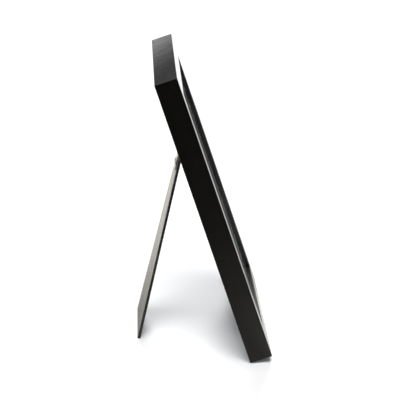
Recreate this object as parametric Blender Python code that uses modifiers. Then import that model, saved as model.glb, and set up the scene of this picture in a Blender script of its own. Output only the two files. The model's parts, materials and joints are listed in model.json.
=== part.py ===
"""A matted picture frame on an easel strut, modelled piece by piece at its real size.

Metres, +Z up. The frame faces -Y, leans back on the strut behind it, and stands on the floor at z = 0.
The origin is the bottom centre of the whole object's box.

The frame is laid out in its own leaning axes: x across it, "up" along its back from the bottom edge,
and "depth" from its back plane towards its front.
"""
import math

import bmesh
import bpy
from mathutils import Matrix, Vector

MM = 0.001

# Driving sizes of the whole frame
GLASS_WIDTH = 203 * MM
GLASS_HEIGHT = 254 * MM
FACE_WIDTH = 21 * MM
RAIL_DEPTH = 22 * MM
LEAN_ANGLE = math.radians(17.7)
STRUT_OPEN_ANGLE = math.radians(31.8)

# Clearances
SEAT_GAP = 0.3 * MM
SHEET_FIT_GAP = 1 * MM
MITRE_GAP = 0.3 * MM
CUT_OVERRUN = 2 * MM
WELD_DISTANCE = 0.001 * MM

# Moulding section
LIP_OVERLAP = 6 * MM
LIP_THICKNESS = 4 * MM
LEDGE_DROP = 4 * MM
LEDGE_WIDTH = 8 * MM
FRONT_EDGE_RADIUS = 0.6 * MM
EDGE_ARC_STEPS = 3

# Wedge nails across the mitres, pressed in from behind
NAIL_LENGTH = 9 * MM
NAIL_THICKNESS = 0.5 * MM
NAIL_WING = 2.6 * MM
NAIL_HALF_ANGLE = math.radians(58)
NAIL_SINK = 0.4 * MM
OUTER_NAIL_INSET = 4.4 * MM
INNER_NAIL_INSET = 11.5 * MM

# Sheets in the rabbet
GLASS_THICKNESS = 2 * MM
MAT_THICKNESS = 1.5 * MM
WINDOW_WIDTH = 114 * MM
WINDOW_HEIGHT = 165 * MM
MAT_BEVEL_ANGLE = math.radians(45)
PICTURE_WIDTH = 127 * MM
PICTURE_HEIGHT = 178 * MM
PICTURE_THICKNESS = 0.3 * MM
BOARD_THICKNESS = 3 * MM

# Turn buttons and their screws
BUTTON_THICKNESS = 1 * MM
BUTTON_ROOT_RADIUS = 3.9 * MM
BUTTON_TIP_RADIUS = 2.2 * MM
BUTTON_REACH = 13 * MM
SIDE_BUTTON_HEIGHT_SHARES = (0.25, 0.75)
SCREW_SHANK_RADIUS = 1.2 * MM
SCREW_LENGTH = 10 * MM
SCREW_POINT_LENGTH = 2 * MM
SCREW_HEAD_RADIUS = 3 * MM
SCREW_HEAD_HEIGHT = 1.4 * MM
ROUND_STEPS = 24

# Easel hinge
PIN_BELOW_TOP = 86 * MM
PIN_RADIUS = 1 * MM
PIN_RUNNING_GAP = 0.1 * MM
PIN_HEAD_RADIUS = 1.7 * MM
PIN_HEAD_LENGTH = 0.8 * MM
LEAF_THICKNESS = 0.8 * MM
LEAF_HALF_WIDTH = 11 * MM
KNUCKLE_HALF_WIDTH = 3.6 * MM
TONGUE_WIDTH = 2.6 * MM
KNUCKLE_END_GAP = 0.4 * MM
LEAF_NOTCH = 2.4 * MM
KNUCKLE_ROLL = math.radians(285)
KNUCKLE_STEPS = 19
STOP_GAP = 0.3 * MM
BACK_LEAF_HEIGHT = 22 * MM
BACK_RIVET_UP = 14 * MM
STRUT_LEAF_LAP = 13.5 * MM
STRUT_RIVET_LAP = 6.5 * MM
RIVET_SPREAD = 5.5 * MM
RIVET_SHANK_RADIUS = 1.2 * MM
RIVET_HEAD_RADIUS = 2.6 * MM
RIVET_HEAD_HEIGHT = 1 * MM
RIVET_TAIL_RADIUS = 2.2 * MM
RIVET_TAIL_THICKNESS = 0.6 * MM
DOME_STEPS = 5

# Strut board
STRUT_THICKNESS = 2.7 * MM
STRUT_FOOT_WIDTH = 88 * MM
STRUT_TOP_WIDTH = 41 * MM
STRUT_TOP_DROP = 14.7 * MM
STRUT_TOP_RADIUS = 4 * MM
STRUT_ARC_STEPS = 5

# Sizes that follow from the ones above
RABBET_WALL = FACE_WIDTH - LIP_OVERLAP
FRAME_WIDTH = GLASS_WIDTH + 2 * (SHEET_FIT_GAP + RABBET_WALL)
FRAME_HEIGHT = GLASS_HEIGHT + 2 * (SHEET_FIT_GAP + RABBET_WALL)
RIDGE_WIDTH = RABBET_WALL - LEDGE_WIDTH
MID_HEIGHT = FRAME_HEIGHT / 2

GLASS_BACK = RAIL_DEPTH - LIP_THICKNESS - SEAT_GAP - GLASS_THICKNESS
MAT_BACK = GLASS_BACK - SEAT_GAP - MAT_THICKNESS
PICTURE_BACK = MAT_BACK - SEAT_GAP - PICTURE_THICKNESS
BOARD_BACK = LEDGE_DROP
PAD_BACK = BOARD_BACK + BOARD_THICKNESS + SEAT_GAP
PAD_THICKNESS = PICTURE_BACK - SEAT_GAP - PAD_BACK

BUTTON_INSET = RIDGE_WIDTH + BUTTON_ROOT_RADIUS + SEAT_GAP
BUTTON_BACK = LEDGE_DROP - SEAT_GAP - BUTTON_THICKNESS
SCREW_SEAT = BUTTON_BACK - SEAT_GAP

KNUCKLE_BORE = PIN_RADIUS + PIN_RUNNING_GAP
KNUCKLE_RADIUS = KNUCKLE_BORE + LEAF_THICKNESS
ROLL_RADIUS = KNUCKLE_BORE + LEAF_THICKNESS / 2
PIN_UP = FRAME_HEIGHT - PIN_BELOW_TOP
PIN_DEPTH = BOARD_BACK - SEAT_GAP - KNUCKLE_RADIUS
TONGUE_LENGTH = (KNUCKLE_BORE * (1 + math.cos(STRUT_OPEN_ANGLE)) - STOP_GAP) / math.sin(STRUT_OPEN_ANGLE)
STRUT_BACK = KNUCKLE_BORE - SEAT_GAP

STRUT_SLOPE = STRUT_OPEN_ANGLE - LEAN_ANGLE
PIN_HEIGHT = PIN_UP * math.cos(LEAN_ANGLE) + PIN_DEPTH * math.sin(LEAN_ANGLE)


def strut_length_at(outward):
    """Length along the strut from the pin's axis to the floor, at a distance outward from that axis."""
    return (PIN_HEIGHT + outward * math.sin(STRUT_SLOPE)) / math.cos(STRUT_SLOPE)


def clear_scene():
    for item in list(bpy.data.objects):
        bpy.data.objects.remove(item, do_unlink=True)


def new_collection(name):
    made = bpy.data.collections.new(name)
    bpy.context.scene.collection.children.link(made)
    return made


def new_material(name, colour, roughness, metallic=0.0, alpha=1.0):
    made = bpy.data.materials.new(name)
    made.use_nodes = True
    shader = made.node_tree.nodes["Principled BSDF"]
    shader.inputs["Base Color"].default_value = (*colour, 1.0)
    shader.inputs["Roughness"].default_value = roughness
    shader.inputs["Metallic"].default_value = metallic
    shader.inputs["Alpha"].default_value = alpha
    made.diffuse_color = (*colour, alpha)
    return made


clear_scene()
PARTS = new_collection("picture_frame")
CUTTERS = new_collection("cutters")

BLACK_LACQUER = new_material("black_lacquer", (0.012, 0.012, 0.011), 0.35)
BLACK_BOARD = new_material("black_board", (0.02, 0.02, 0.019), 0.45)
CLEAR_GLASS = new_material("clear_glass", (0.9, 0.95, 0.93), 0.02, alpha=0.2)
MAT_CARD = new_material("mat_card", (0.86, 0.85, 0.82), 0.9)
PICTURE_PAPER = new_material("picture_paper", (0.75, 0.75, 0.73), 0.7)
PAD_CARD = new_material("pad_card", (0.45, 0.33, 0.2), 0.9)
NICKEL_STEEL = new_material("nickel_steel", (0.62, 0.61, 0.58), 0.3, metallic=1.0)
ZINC_STEEL = new_material("zinc_steel", (0.5, 0.5, 0.5), 0.4, metallic=1.0)


# Placing

def new_empty(name, parent, location=(0, 0, 0), tilt=0.0):
    made = bpy.data.objects.new(name, None)
    PARTS.objects.link(made)
    made.parent = parent
    made.location = location
    made.rotation_euler = (tilt, 0, 0)
    return made


def add_object(name, mesh, material, parent, location=(0, 0, 0), rotation=(0, 0, 0)):
    made = bpy.data.objects.new(name, mesh)
    PARTS.objects.link(made)
    mesh.materials.append(material)
    made.parent = parent
    made.location = location
    made.rotation_euler = rotation
    return made


def add_cutter(name, mesh, parent, location=(0, 0, 0), rotation=(0, 0, 0)):
    made = bpy.data.objects.new(name, mesh)
    CUTTERS.objects.link(made)
    made.parent = parent
    made.location = location
    made.rotation_euler = rotation
    made.hide_render = True
    made.display_type = "WIRE"
    return made


def cut(target, cutter):
    boolean = target.modifiers.new(cutter.name, "BOOLEAN")
    boolean.operation = "DIFFERENCE"
    boolean.object = cutter


def in_frame(x, up, depth):
    """A place in the frame's leaning axes."""
    return (x, -depth, up)


# Turns a shape drawn in its own xy plane, or turned about its own z axis, to face the frame's back
FLAT_IN_FRAME = math.radians(90)
HEAD_BEHIND = math.radians(-90)


# Shapes

def rounded_outline(corners, steps):
    """Outline points from (x, y, radius) corners: an arc of the radius replaces each rounded corner."""
    points = []
    for index, (x, y, radius) in enumerate(corners):
        corner = Vector((x, y))
        if not radius:
            points.append(corner)
            continue
        before = (Vector(corners[index - 1][:2]) - corner).normalized()
        after = (Vector(corners[(index + 1) % len(corners)][:2]) - corner).normalized()
        half_angle = before.angle(after) / 2
        centre = corner + (before + after).normalized() * radius / math.sin(half_angle)
        start = corner + before * radius / math.tan(half_angle) - centre
        turn = (math.pi - 2 * half_angle) * (1 if start.x * after.y > start.y * after.x else -1)
        for step in range(steps + 1):
            points.append(centre + Matrix.Rotation(turn * step / steps, 2) @ start)
    return points


def outline_mesh(name, outlines, thickness):
    """A flat piece: the outlines filled, inner ones as holes, and thickened evenly about z = 0."""
    curve = bpy.data.curves.new(name, "CURVE")
    curve.dimensions = "2D"
    curve.fill_mode = "BOTH"
    curve.extrude = thickness / 2
    for outline in outlines:
        spline = curve.splines.new("POLY")
        spline.points.add(len(outline) - 1)
        spline.use_cyclic_u = True
        for point, place in zip(spline.points, outline):
            point.co = (place[0], place[1], 0, 1)
    holder = bpy.data.objects.new(name, curve)
    bpy.context.scene.collection.objects.link(holder)
    bpy.context.view_layer.update()
    mesh = bpy.data.meshes.new_from_object(holder.evaluated_get(bpy.context.evaluated_depsgraph_get()))
    bpy.data.objects.remove(holder, do_unlink=True)
    welded = bmesh.new()
    welded.from_mesh(mesh)
    bmesh.ops.remove_doubles(welded, verts=welded.verts, dist=WELD_DISTANCE)
    bmesh.ops.recalc_face_normals(welded, faces=welded.faces)
    welded.to_mesh(mesh)
    welded.free()
    return mesh


def box_mesh(name, width, thickness, height):
    """A box about its own centre, scaled from a cube of side 1."""
    box = bmesh.new()
    bmesh.ops.create_cube(box, size=1, matrix=Matrix.Diagonal((width, thickness, height, 1)))
    mesh = bpy.data.meshes.new(name)
    box.to_mesh(mesh)
    box.free()
    return mesh


def profile_mesh(name, profile):
    """The half profile of a turned piece, as (radius, z) points from its top to its bottom."""
    mesh = bpy.data.meshes.new(name)
    vertices = [(radius, 0, z) for radius, z in profile]
    mesh.from_pydata(vertices, [(i, i + 1) for i in range(len(vertices) - 1)], [])
    return mesh


def turn_profile(piece):
    screw = piece.modifiers.new("turn", "SCREW")
    screw.steps = ROUND_STEPS
    screw.render_steps = ROUND_STEPS
    screw.use_merge_vertices = True
    screw.merge_threshold = WELD_DISTANCE
    screw.use_smooth_shade = False
    return piece


def dome_profile(radius, height, z):
    """Profile points of a low dome standing on z, from its crown to its rim."""
    quarter = math.pi / 2
    angles = [quarter * step / DOME_STEPS for step in range(DOME_STEPS + 1)]
    return [(radius * math.sin(angle), z + height * math.cos(angle)) for angle in angles]


def circle_outline(radius, steps=ROUND_STEPS):
    turns = [2 * math.pi * step / steps for step in range(steps)]
    return [(radius * math.cos(turn), radius * math.sin(turn)) for turn in turns]


def sheet_mesh(name, strips):
    """Bent sheet metal's middle surface, from strips of (x places, (y, z) path) that meet edge to edge."""
    sheet = bmesh.new()
    for columns, path in strips:
        grid = [[sheet.verts.new((x, y, z)) for x in columns] for y, z in path]
        for low, high in zip(grid, grid[1:]):
            for i in range(len(columns) - 1):
                sheet.faces.new((low[i], low[i + 1], high[i + 1], high[i]))
    bmesh.ops.remove_doubles(sheet, verts=sheet.verts, dist=WELD_DISTANCE)
    bmesh.ops.recalc_face_normals(sheet, faces=sheet.faces)
    mesh = bpy.data.meshes.new(name)
    sheet.to_mesh(mesh)
    sheet.free()
    return mesh


def thicken(piece, thickness):
    solidify = piece.modifiers.new("gauge", "SOLIDIFY")
    solidify.thickness = thickness
    solidify.offset = 0
    solidify.use_even_offset = True


# Rails

def rail_section():
    """The moulding's section: x runs inwards from the outer side, y is minus the depth."""
    corners = (
        (0, 0, 0),
        (RIDGE_WIDTH, 0, 0),
        (RIDGE_WIDTH, -LEDGE_DROP, 0),
        (RABBET_WALL, -LEDGE_DROP, 0),
        (RABBET_WALL, LIP_THICKNESS - RAIL_DEPTH, 0),
        (FACE_WIDTH, LIP_THICKNESS - RAIL_DEPTH, 0),
        (FACE_WIDTH, -RAIL_DEPTH, FRONT_EDGE_RADIUS),
        (0, -RAIL_DEPTH, FRONT_EDGE_RADIUS),
    )
    return rounded_outline(corners, EDGE_ARC_STEPS)


def add_rail(name, length, x, up, turn, parent):
    """One mitred rail: each end is shortened by a point's distance from the outer side."""
    mesh = outline_mesh(name, [rail_section()], length)
    half_mitre_gap = MITRE_GAP / 2 * math.sqrt(2)
    for vertex in mesh.vertices:
        vertex.co.z -= math.copysign(vertex.co.x + half_mitre_gap, vertex.co.z)
    return add_object(name, mesh, BLACK_LACQUER, parent, in_frame(x, up, 0), (0, turn, 0))


def add_rails(parent):
    half = FRAME_WIDTH / 2
    quarter_turn = math.pi / 2
    return {
        "left": add_rail("left_rail", FRAME_HEIGHT, -half, MID_HEIGHT, 0, parent),
        "right": add_rail("right_rail", FRAME_HEIGHT, half, MID_HEIGHT, math.pi, parent),
        "top": add_rail("top_rail", FRAME_WIDTH, 0, FRAME_HEIGHT, quarter_turn, parent),
        "bottom": add_rail("bottom_rail", FRAME_WIDTH, 0, 0, -quarter_turn, parent),
    }


# Wedge nails

def nail_outline(wing, thickness):
    """A V with its point at the mitre line and its wings opening towards +x."""
    along = Vector((math.cos(NAIL_HALF_ANGLE), math.sin(NAIL_HALF_ANGLE)))
    across = Vector((-along.y, along.x)) * thickness / 2
    tip = along * wing
    crotch = thickness / 2 / math.sin(NAIL_HALF_ANGLE)
    upper = [tip + across, tip - across]
    lower = [Vector((point.x, -point.y)) for point in reversed(upper)]
    return [Vector((-crotch, 0)), *upper, Vector((crotch, 0)), *lower]


def add_nails(rails, parent):
    """Two wedge nails a corner, each in a slot that both of the corner's rails share."""
    rows = (("outer", OUTER_NAIL_INSET, 0), ("inner", INNER_NAIL_INSET, LEDGE_DROP))
    for side, x_sign in (("left", -1), ("right", 1)):
        for level, up_sign in (("top", 1), ("bottom", -1)):
            towards_corner = math.atan2(-up_sign, x_sign)
            for row, inset, surface in rows:
                x = x_sign * (FRAME_WIDTH / 2 - inset)
                up = MID_HEIGHT + up_sign * (MID_HEIGHT - inset)
                label = f"{level}_{side}_{row}"
                middle = surface + NAIL_SINK + NAIL_LENGTH / 2
                turn = (FLAT_IN_FRAME, towards_corner, 0)
                nail = outline_mesh(f"wedge_nail_{label}", [nail_outline(NAIL_WING, NAIL_THICKNESS)], NAIL_LENGTH)
                add_object(f"wedge_nail_{label}", nail, ZINC_STEEL, parent, in_frame(x, up, middle), turn)
                slot_width = NAIL_THICKNESS + 2 * SEAT_GAP
                slot_depth = NAIL_SINK + NAIL_LENGTH + SEAT_GAP + CUT_OVERRUN
                slot = outline_mesh(f"slot_{label}", [nail_outline(NAIL_WING + SEAT_GAP, slot_width)], slot_depth)
                slot_middle = surface - CUT_OVERRUN + slot_depth / 2
                cutter = add_cutter(f"slot_{label}", slot, parent, in_frame(x, up, slot_middle), turn)
                cut(rails[side], cutter)
                cut(rails[level], cutter)


# Sheets in the rabbet

def add_sheet(name, width, height, thickness, back, material, parent):
    """A flat sheet centred in the frame, with its back face at a depth."""
    mesh = box_mesh(name, width, thickness, height)
    return add_object(name, mesh, material, parent, in_frame(0, MID_HEIGHT, back + thickness / 2))


def window_cutter_mesh():
    """A block that widens towards the front, for the mat's bevelled window."""
    depth = MAT_THICKNESS + 2 * CUT_OVERRUN
    mesh = box_mesh("window", WINDOW_WIDTH, depth, WINDOW_HEIGHT)
    spread = math.tan(MAT_BEVEL_ANGLE)
    for vertex in mesh.vertices:
        grow = (depth / 2 - vertex.co.y - CUT_OVERRUN) * spread
        vertex.co.x += math.copysign(grow, vertex.co.x)
        vertex.co.z += math.copysign(grow, vertex.co.z)
    return mesh


def add_sheets(parent):
    add_sheet("glass_pane", GLASS_WIDTH, GLASS_HEIGHT, GLASS_THICKNESS, GLASS_BACK, CLEAR_GLASS, parent)
    mat = add_sheet("window_mat", GLASS_WIDTH, GLASS_HEIGHT, MAT_THICKNESS, MAT_BACK, MAT_CARD, parent)
    middle = in_frame(0, MID_HEIGHT, MAT_BACK + MAT_THICKNESS / 2)
    cut(mat, add_cutter("mat_window", window_cutter_mesh(), parent, middle))
    add_sheet("picture_sheet", PICTURE_WIDTH, PICTURE_HEIGHT, PICTURE_THICKNESS, PICTURE_BACK,
              PICTURE_PAPER, parent)
    add_sheet("filler_pad", GLASS_WIDTH, GLASS_HEIGHT, PAD_THICKNESS, PAD_BACK, PAD_CARD, parent)
    return add_sheet("backing_board", GLASS_WIDTH, GLASS_HEIGHT, BOARD_THICKNESS, BOARD_BACK,
                     BLACK_BOARD, parent)


# Turn buttons

def button_outline():
    """A pear: a round root about the screw, narrowing in straight sides to a round tip."""
    lean = math.asin((BUTTON_ROOT_RADIUS - BUTTON_TIP_RADIUS) / BUTTON_REACH)
    half_turn = math.pi / 2 - lean
    points = []
    steps = ROUND_STEPS // 2
    for centre, radius, start, sweep in (
        (0, BUTTON_ROOT_RADIUS, half_turn, 2 * math.pi - 2 * half_turn),
        (BUTTON_REACH, BUTTON_TIP_RADIUS, -half_turn, 2 * half_turn),
    ):
        for step in range(steps + 1):
            angle = start + sweep * step / steps
            points.append((centre + radius * math.cos(angle), radius * math.sin(angle)))
    return points


def screw_profile():
    """A pan head standing on z = 0 and a pointed shank below it."""
    shank_end = SCREW_POINT_LENGTH - SCREW_LENGTH
    return [
        *dome_profile(SCREW_HEAD_RADIUS, SCREW_HEAD_HEIGHT, 0),
        (SCREW_SHANK_RADIUS, 0),
        (SCREW_SHANK_RADIUS, shank_end),
        (0, -SCREW_LENGTH),
    ]


def add_button(label, x, up, inwards, rail, parent):
    """A turn button that points inwards over the backing board, its screw and the screw's pilot hole."""
    hole = circle_outline(SCREW_SHANK_RADIUS + SEAT_GAP)
    mesh = outline_mesh(f"turn_button_{label}", [button_outline(), hole], BUTTON_THICKNESS)
    middle = BUTTON_BACK + BUTTON_THICKNESS / 2
    add_object(f"turn_button_{label}", mesh, NICKEL_STEEL, parent, in_frame(x, up, middle),
               (FLAT_IN_FRAME, -inwards, 0))
    screw = add_object(f"button_screw_{label}", profile_mesh(f"button_screw_{label}", screw_profile()),
                       ZINC_STEEL, parent, in_frame(x, up, SCREW_SEAT), (HEAD_BEHIND, 0, 0))
    turn_profile(screw)
    pilot_end = SCREW_SEAT + SCREW_LENGTH + SEAT_GAP
    pilot_start = LEDGE_DROP - CUT_OVERRUN
    pilot = outline_mesh(f"pilot_{label}", [hole], pilot_end - pilot_start)
    cutter = add_cutter(f"pilot_{label}", pilot, parent, in_frame(x, up, (pilot_start + pilot_end) / 2),
                        (FLAT_IN_FRAME, 0, 0))
    cut(rail, cutter)


def add_buttons(rails, parent):
    """Two on each side rail, one at the middle of the top rail and one at the middle of the bottom rail."""
    side = FRAME_WIDTH / 2 - BUTTON_INSET
    for level, share in zip(("lower", "upper"), SIDE_BUTTON_HEIGHT_SHARES):
        up = FRAME_HEIGHT * share
        add_button(f"left_{level}", -side, up, 0, rails["left"], parent)
        add_button(f"right_{level}", side, up, math.pi, rails["right"], parent)
    add_button("top", 0, FRAME_HEIGHT - BUTTON_INSET, -math.pi / 2, rails["top"], parent)
    add_button("bottom", 0, BUTTON_INSET, math.pi / 2, rails["bottom"], parent)


# Easel hinge

def knuckle_path(start):
    """A leaf's end from a start below the axis, straight to the axis and then rolled round it."""
    angles = [KNUCKLE_ROLL * step / KNUCKLE_STEPS for step in range(KNUCKLE_STEPS + 1)]
    rolled = [(ROLL_RADIUS * math.cos(angle), ROLL_RADIUS * math.sin(angle)) for angle in angles]
    return [(ROLL_RADIUS, start), *rolled]


def leaf_columns():
    """The x places where a leaf's strips begin and end, from its middle outwards."""
    tongue_inner = KNUCKLE_HALF_WIDTH + KNUCKLE_END_GAP
    tongue_outer = tongue_inner + TONGUE_WIDTH
    return KNUCKLE_HALF_WIDTH, tongue_inner, tongue_outer, tongue_outer + KNUCKLE_END_GAP, LEAF_HALF_WIDTH


def all_columns():
    half = leaf_columns()
    return [-x for x in reversed(half)] + list(half)


def strut_leaf_mesh(lower_end):
    """Plate, middle knuckle, and a stop tongue on each side of it that runs on past the pin."""
    knuckle, tongue_inner, tongue_outer, _, _ = leaf_columns()
    plate = (all_columns(), [(ROLL_RADIUS, lower_end), (ROLL_RADIUS, -LEAF_NOTCH)])
    tongue = [(ROLL_RADIUS, -LEAF_NOTCH), (ROLL_RADIUS, TONGUE_LENGTH)]
    return sheet_mesh("hinge_strut_leaf", [
        plate,
        ([-knuckle, knuckle], knuckle_path(-LEAF_NOTCH)),
        ([-tongue_outer, -tongue_inner], tongue),
        ([tongue_inner, tongue_outer], tongue),
    ])


def back_leaf_mesh():
    """The same leaf turned over: a plate above the pin and a knuckle at each side."""
    outer, half_width = leaf_columns()[3:]
    plate = (all_columns(), [(-ROLL_RADIUS, BACK_LEAF_HEIGHT), (-ROLL_RADIUS, LEAF_NOTCH)])
    rolled = [(-y, -z) for y, z in knuckle_path(-LEAF_NOTCH)]
    return sheet_mesh("hinge_back_leaf", [plate, ([-half_width, -outer], rolled), ([outer, half_width], rolled)])


def rivet_profile(grip):
    """A domed head standing on z = 0, a shank, and a flat tail whose far face is at -grip."""
    tail_top = RIVET_TAIL_THICKNESS - grip
    return [
        *dome_profile(RIVET_HEAD_RADIUS, RIVET_HEAD_HEIGHT, 0),
        (RIVET_SHANK_RADIUS, 0),
        (RIVET_SHANK_RADIUS, tail_top),
        (RIVET_TAIL_RADIUS, tail_top),
        (RIVET_TAIL_RADIUS, -grip),
        (0, -grip),
    ]


def rivet_hole_profile(grip):
    """The hole round such a rivet, open at both ends, with a counterbore for the tail."""
    counterbore_top = RIVET_TAIL_THICKNESS + SEAT_GAP - grip
    return [
        (0, CUT_OVERRUN),
        (RIVET_SHANK_RADIUS + SEAT_GAP, CUT_OVERRUN),
        (RIVET_SHANK_RADIUS + SEAT_GAP, counterbore_top),
        (RIVET_TAIL_RADIUS + SEAT_GAP, counterbore_top),
        (RIVET_TAIL_RADIUS + SEAT_GAP, -grip - CUT_OVERRUN),
        (0, -grip - CUT_OVERRUN),
    ]


def add_rivets(label, z, seat, board_thickness, leaf, board, parent):
    """Two rivets side by side, through a leaf and the board under it, with tails sunk in the board."""
    grip = SEAT_GAP + LEAF_THICKNESS + SEAT_GAP + board_thickness - SEAT_GAP
    for side, x in (("left", -RIVET_SPREAD), ("right", RIVET_SPREAD)):
        place = (x, seat, z)
        name = f"{label}_rivet_{side}"
        rivet = add_object(name, profile_mesh(name, rivet_profile(grip)), NICKEL_STEEL, parent, place,
                           (HEAD_BEHIND, 0, 0))
        turn_profile(rivet)
        cutter = turn_profile(add_cutter(f"{name}_hole", profile_mesh(f"{name}_hole", rivet_hole_profile(grip)),
                                         parent, place, (HEAD_BEHIND, 0, 0)))
        cut(leaf, cutter)
        cut(board, cutter)


def pin_profile():
    """A plain pin with a flat peened head past each outer knuckle."""
    inner = LEAF_HALF_WIDTH + SEAT_GAP
    end = inner + PIN_HEAD_LENGTH
    upper = [(0, end), (PIN_HEAD_RADIUS, end), (PIN_HEAD_RADIUS, inner), (PIN_RADIUS, inner)]
    return upper + [(radius, -z) for radius, z in reversed(upper)]


def add_back_hinge(board, pin_place):
    leaf = add_object("hinge_back_leaf", back_leaf_mesh(), NICKEL_STEEL, pin_place)
    thicken(leaf, LEAF_THICKNESS)
    leaf_face = -KNUCKLE_BORE
    add_rivets("back", BACK_RIVET_UP, leaf_face + SEAT_GAP, BOARD_THICKNESS, leaf, board, pin_place)
    pin = add_object("hinge_pin", profile_mesh("hinge_pin", pin_profile()), NICKEL_STEEL, pin_place,
                     rotation=(0, math.pi / 2, 0))
    turn_profile(pin)


# Strut

def strut_board_mesh():
    """A tapered board hung below the pin, its foot cut level with the floor."""
    foot = -strut_length_at(STRUT_BACK)
    corners = (
        (-STRUT_FOOT_WIDTH / 2, foot, 0),
        (STRUT_FOOT_WIDTH / 2, foot, 0),
        (STRUT_TOP_WIDTH / 2, -STRUT_TOP_DROP, STRUT_TOP_RADIUS),
        (-STRUT_TOP_WIDTH / 2, -STRUT_TOP_DROP, STRUT_TOP_RADIUS),
    )
    mesh = outline_mesh("strut_board", [rounded_outline(corners, STRUT_ARC_STEPS)], STRUT_THICKNESS)
    halfway = (foot - STRUT_TOP_DROP) / 2
    for vertex in mesh.vertices:
        if vertex.co.y < halfway:
            outward = STRUT_BACK - STRUT_THICKNESS / 2 - vertex.co.z
            vertex.co.y = -strut_length_at(outward)
    return mesh


def add_strut(hinge):
    middle = STRUT_BACK - STRUT_THICKNESS / 2
    board = add_object("strut_board", strut_board_mesh(), BLACK_BOARD, hinge, (0, middle, 0),
                       (FLAT_IN_FRAME, 0, 0))
    leaf = add_object("hinge_strut_leaf", strut_leaf_mesh(-STRUT_TOP_DROP - STRUT_LEAF_LAP), NICKEL_STEEL, hinge)
    thicken(leaf, LEAF_THICKNESS)
    add_rivets("strut", -STRUT_TOP_DROP - STRUT_RIVET_LAP, KNUCKLE_RADIUS + SEAT_GAP, STRUT_THICKNESS,
               leaf, board, hinge)


def standing_place():
    """Where the frame's back bottom edge goes, for the origin to be the bottom centre of the box."""
    front = -RAIL_DEPTH * math.cos(LEAN_ANGLE)
    pin_y = PIN_UP * math.sin(LEAN_ANGLE) - PIN_DEPTH * math.cos(LEAN_ANGLE)
    foot_length = strut_length_at(STRUT_BACK)
    rear = pin_y + STRUT_BACK * math.cos(STRUT_SLOPE) + foot_length * math.sin(STRUT_SLOPE)
    return (0, -(front + rear) / 2, 0)


def shade_parts():
    """Round faces smooth and edges sharp, on the pieces that keep their own mesh."""
    for piece in PARTS.objects:
        if piece.type == "MESH" and piece.data.polygons:
            piece.data.shade_smooth()
            piece.data.set_sharp_from_angle(angle=math.radians(30))


def build():
    frame = new_empty("leaning_frame", None, standing_place(), -LEAN_ANGLE)
    rails = add_rails(frame)
    add_nails(rails, frame)
    board = add_sheets(frame)
    add_buttons(rails, frame)
    pin_place = new_empty("hinge_pin_place", frame, in_frame(0, PIN_UP, PIN_DEPTH))
    add_back_hinge(board, pin_place)
    strut_hinge = new_empty("strut_hinge", pin_place, tilt=STRUT_OPEN_ANGLE)
    add_strut(strut_hinge)
    shade_parts()


build()
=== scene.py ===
import json
import math

import bmesh
import bpy
import numpy as np
from mathutils import Matrix

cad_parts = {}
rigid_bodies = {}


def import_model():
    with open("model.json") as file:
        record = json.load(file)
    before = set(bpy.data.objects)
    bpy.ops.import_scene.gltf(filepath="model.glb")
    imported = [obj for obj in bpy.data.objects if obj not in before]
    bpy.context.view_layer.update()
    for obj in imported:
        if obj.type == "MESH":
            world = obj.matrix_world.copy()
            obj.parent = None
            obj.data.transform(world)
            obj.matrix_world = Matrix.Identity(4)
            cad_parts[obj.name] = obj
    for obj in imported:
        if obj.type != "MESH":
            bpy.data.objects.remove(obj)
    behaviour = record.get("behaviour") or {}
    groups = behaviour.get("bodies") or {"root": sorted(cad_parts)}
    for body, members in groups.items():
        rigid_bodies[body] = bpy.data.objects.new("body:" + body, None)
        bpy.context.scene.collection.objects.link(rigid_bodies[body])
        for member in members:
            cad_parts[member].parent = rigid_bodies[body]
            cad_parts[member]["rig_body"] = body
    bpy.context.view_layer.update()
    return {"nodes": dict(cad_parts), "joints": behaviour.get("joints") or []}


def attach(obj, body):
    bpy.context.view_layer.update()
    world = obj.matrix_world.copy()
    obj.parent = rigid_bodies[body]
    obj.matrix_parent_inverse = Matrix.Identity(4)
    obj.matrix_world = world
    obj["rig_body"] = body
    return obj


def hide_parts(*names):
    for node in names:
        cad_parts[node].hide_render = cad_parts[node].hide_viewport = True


# Looks of a black matted picture frame on an easel strut: fine shapes, finishes, floor, light and camera.
# Every shape is laid out in the frame's own leaning axes (across, up its back, towards its front) or in
# the strut's axes (across, up the strut, towards its front), and stands exactly where the CAD node is.

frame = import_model()

MM = 0.001

# Moulding
RAIL_DEPTH = 22 * MM
FACE_WIDTH = 21 * MM
RABBET_WALL = 15 * MM
RIDGE_WIDTH = 7 * MM
LEDGE_DROP = 4 * MM
LIP_THICKNESS = 4 * MM
FRONT_EDGE_RADIUS = 0.45 * MM
BACK_EDGE_RADIUS = 0.4 * MM
HIDDEN_EDGE_RADIUS = 0.15 * MM
CORNER_RADIUS = 0.35 * MM
MITRE_EASE = 0.07 * MM
MITRE_HALF_GAP = 0.02 * MM

# Wedge nails and their slots
NAIL_WING = 2.6 * MM
NAIL_THICKNESS = 0.5 * MM
NAIL_HALF_ANGLE = math.radians(58)
NAIL_SINK = 0.4 * MM
NAIL_LENGTH = 9 * MM
OUTER_NAIL_INSET = 4.4 * MM
INNER_NAIL_INSET = 11.5 * MM
NAIL_ROWS = (("outer", OUTER_NAIL_INSET, 0), ("inner", INNER_NAIL_INSET, LEDGE_DROP))
NAIL_EDGE = NAIL_THICKNESS / 8
SLOT_GAP = 0.12 * MM
SLOT_EDGE = SLOT_GAP / 4
SLOT_DEPTH = 2.5 * MM

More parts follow.
